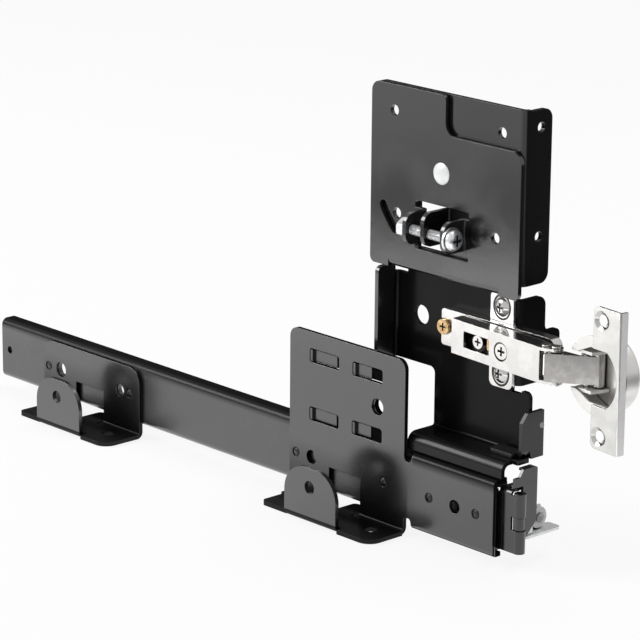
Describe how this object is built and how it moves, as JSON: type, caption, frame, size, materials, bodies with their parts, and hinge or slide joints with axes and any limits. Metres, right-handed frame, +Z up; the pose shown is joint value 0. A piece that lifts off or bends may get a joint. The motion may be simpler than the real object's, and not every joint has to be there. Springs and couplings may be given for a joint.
{
  "type": "pocket door slide",
  "caption": "Pocket door slide: ball race rail on two folded brackets, folded sheet carriage with a tilting follower plate and adjusting screw, and a side arm cup hinge for the door.",
  "frame": {"origin": "midway between the two base screw holes, on the underside of the bases", "axes": "+X along the rail to the cabinet front, +Y away from the camera into the door pocket's side, +Z up"},
  "size_m": [0.4374, 0.07, 0.212],
  "materials": {
    "black_gloss_steel": "glossy",
    "zinc_steel": "satin",
    "nickel_steel": "polished",
    "polished_ball": "polished",
    "brass": "satin",
    "grey_plastic": "matte"
  },
  "bodies": {
    "base": {"cabinet_rail": "black_gloss_steel", "front_bracket": "black_gloss_steel", "rear_bracket": "black_gloss_steel", "bracket_rivets": "black_gloss_steel", "flap_bracket": "black_gloss_steel", "flap_rivet": "nickel_steel", "flap_pin": "zinc_steel"},
    "ball_cage": {"ball_retainer": "zinc_steel", "race_balls_top": "polished_ball", "race_balls_bottom": "polished_ball"},
    "carriage": {"runner": "zinc_steel", "runner_rivets": "zinc_steel", "runner_bracket": "black_gloss_steel", "carrier": "black_gloss_steel", "end_tab": "black_gloss_steel", "end_tab_rivet": "zinc_steel", "pivot_rivet": "nickel_steel", "adjuster_nut": "zinc_steel", "hinge_plate": "nickel_steel", "plate_screws": "nickel_steel", "hinge_arm": "nickel_steel", "clamp_screw": "nickel_steel", "side_screw": "nickel_steel", "depth_cam": "brass", "brass_nut": "brass", "arm_pins": "nickel_steel", "link_pins": "nickel_steel"},
    "follower": {"follower_plate": "black_gloss_steel"},
    "screw": {"adjusting_screw": "zinc_steel", "adjuster_washer": "zinc_steel"},
    "link_outer": {"outer_link": "nickel_steel"},
    "link_inner": {"inner_link": "nickel_steel"},
    "cup": {"hinge_cup": "nickel_steel", "cup_flange": "nickel_steel", "cup_pins": "nickel_steel"},
    "flap": {"guide_flap": "black_gloss_steel", "guide_arm": "zinc_steel", "roller_axle": "zinc_steel"},
    "roller": {"guide_roller": "grey_plastic"}
  },
  "joints": [
    {"name": "carriage_slide", "type": "slide", "parent": "base", "child": "carriage", "axis": [1, 0, 0], "range_m": [-0.25, 0]},
    {"name": "cage_slide", "type": "slide", "parent": "base", "child": "ball_cage", "axis": [1, 0, 0], "range_m": [-0.125, 0]},
    {"name": "follower_tilt", "type": "hinge", "parent": "carriage", "child": "follower", "pos_m": [0.1215, 0.0215, 0.1752], "axis": [0, 1, 0], "range_deg": [-1.5, 1.5]},
    {"name": "screw_turn", "type": "hinge", "parent": "carriage", "child": "screw", "pos_m": [0.123, 0.009, 0.149], "axis": [1, 0, 0], "range_deg": [-309, 309]},
    {"name": "link_swing", "type": "hinge", "parent": "carriage", "child": "link_outer", "pos_m": [0.19472, 0.0183, 0.101], "axis": [0, 0, 1], "range_deg": [-36, 0]},
    {"name": "inner_swing", "type": "hinge", "parent": "carriage", "child": "link_inner", "pos_m": [0.18965, 0.0172, 0.101], "axis": [0, 0, 1], "range_deg": [-25.1, 0]},
    {"name": "cup_swing", "type": "hinge", "parent": "link_outer", "child": "cup", "pos_m": [0.21206, 0.02785, 0.101], "axis": [0, 0, 1], "range_deg": [-3.9, 0]},
    {"name": "flap_swing", "type": "hinge", "parent": "base", "child": "flap", "pos_m": [0.1765, 0.0172, 0.022], "axis": [0, 0, 1], "range_deg": [-90, 0]},
    {"name": "roller_spin", "type": "hinge", "parent": "flap", "child": "roller", "pos_m": [0.1699, 0.0356, 0.0195], "axis": [1, 0, 0], "continuous": true}
  ],
  "couplings": [
    {"joint": "cage_slide", "follows": "carriage_slide", "ratio": 0.5},
    {"joint": "screw_turn", "follows": "follower_tilt", "ratio": 205.8},
    {"joint": "inner_swing", "follows": "link_swing", "ratio": 0.695},
    {"joint": "cup_swing", "follows": "link_swing", "ratio": 0.107}
  ]
}
